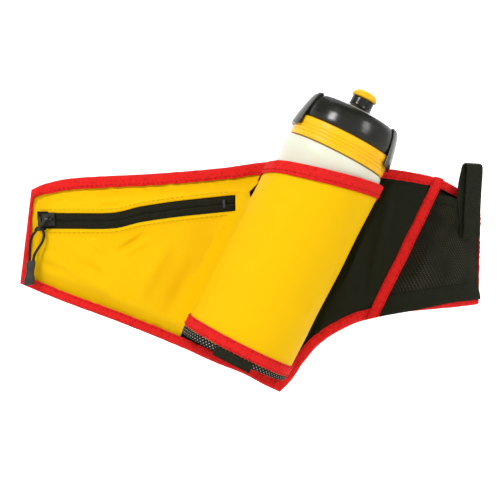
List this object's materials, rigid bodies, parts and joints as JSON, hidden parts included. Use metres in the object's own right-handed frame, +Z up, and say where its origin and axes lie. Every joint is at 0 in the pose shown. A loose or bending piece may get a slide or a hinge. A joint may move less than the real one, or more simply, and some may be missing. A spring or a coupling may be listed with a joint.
{
  "type": "waist pack",
  "caption": "Running waist pack with padded curved wings, a slanted bottle holster with squeeze bottle, a zip pocket, a mesh pocket and a buckled belt.",
  "frame": {"origin": "a point on the flat back face of the lining, just below the belt buckle", "axes": "+X to the right seen from outside, +Y towards the wearer, +Z up as worn"},
  "size_m": [0.317, 0.1111, 0.1973],
  "materials": {
    "yellow_ripstop": "matt coated ripstop nylon",
    "red_tape": "woven grosgrain binding tape",
    "black_stretch": "smooth matt stretch fabric",
    "black_mesh": "open elastic mesh",
    "spacer_mesh": "padded spacer mesh",
    "foam": "closed-cell foam sheet",
    "black_webbing": "woven webbing",
    "zip_tape": "coated zip tape",
    "zip_coil": "nylon coil",
    "dark_metal": "black-coated die-cast metal",
    "pull_cord": "flecked braided cord",
    "grip_rubber": "moulded soft grip",
    "bottle_white": "translucent blown polyethylene",
    "cap_yellow": "moulded yellow plastic",
    "cap_black": "glossy black plastic",
    "seal_grey": "soft sealing ring",
    "buckle_black": "moulded acetal"
  },
  "bodies": {
    "pack": {"back_lining": "spacer_mesh", "foam_pad": "foam", "base_panel": "black_stretch", "edge_binding": "red_tape", "pocket_front": "yellow_ripstop", "zip_tape_upper": "zip_tape", "zip_tape_lower": "zip_tape", "zip_coil_upper": "zip_coil", "zip_coil_lower": "zip_coil", "zip_stop_left": "dark_metal", "zip_stop_right": "dark_metal", "side_panel": "black_stretch", "trim_strip": "red_tape", "mesh_pocket": "black_mesh", "mesh_pocket_hem": "black_stretch", "holster_sleeve": "yellow_ripstop", "holster_mouth_binding": "red_tape", "holster_hem": "red_tape", "holster_skirt": "black_mesh", "holster_tab": "black_webbing", "holster_floor": "black_mesh", "left_belt_strap": "black_webbing", "right_belt_strap": "black_webbing", "webbing_loop": "black_webbing", "buckle_female": "buckle_black", "strap_keeper": "black_webbing"},
    "zip_slider": {"zip_slider": "dark_metal"},
    "zip_pull": {"pull_link": "dark_metal", "pull_cord": "pull_cord", "pull_grip": "grip_rubber"},
    "bottle": {"bottle_base": "bottle_white", "bottle_wall": "bottle_white", "bottle_shoulder": "bottle_white"},
    "cap_seal": {"cap_seal": "seal_grey"},
    "cap": {"cap_ring": "cap_yellow", "cap_dome": "cap_black", "cap_grip_left": "cap_black", "cap_grip_right": "cap_black", "valve_plug": "cap_yellow"},
    "valve": {"valve_tip": "cap_yellow"},
    "buckle_male": {"buckle_male": "buckle_black"}
  },
  "joints": [
    {"name": "zip_slide", "type": "slide", "parent": "pack", "child": "zip_slider", "axis": [0.9762, -0.2011, 0.0812], "range_m": [0, 0.115]},
    {"name": "pull_lift", "type": "hinge", "parent": "zip_slider", "child": "zip_pull", "pos_m": [-0.1587, 0.0065, 0.0385], "axis": [-0.9762, 0.2011, -0.0812], "range_deg": [0, 120]},
    {"name": "bottle_slide", "type": "slide", "parent": "pack", "child": "bottle", "axis": [0.454, 0, 0.891], "range_m": [0, 0.15]},
    {"name": "cap_rise", "type": "slide", "parent": "bottle", "child": "cap_seal", "axis": [0.454, 0, 0.891], "range_m": [0, 0.0051]},
    {"name": "cap_turn", "type": "hinge", "parent": "cap_seal", "child": "cap", "pos_m": [0.0371, -0.0415, 0.08765], "axis": [0.454, 0, 0.891], "range_deg": [0, 450]},
    {"name": "valve_pull", "type": "slide", "parent": "cap", "child": "valve", "axis": [0.454, 0, 0.891], "range_m": [0, 0.006]},
    {"name": "buckle_release", "type": "slide", "parent": "pack", "child": "buckle_male", "axis": [1, 0, 0], "range_m": [0, 0.025]}
  ],
  "couplings": [
    {"joint": "cap_rise", "follows": "cap_turn", "m_per_rad": 0.00063662}
  ]
}
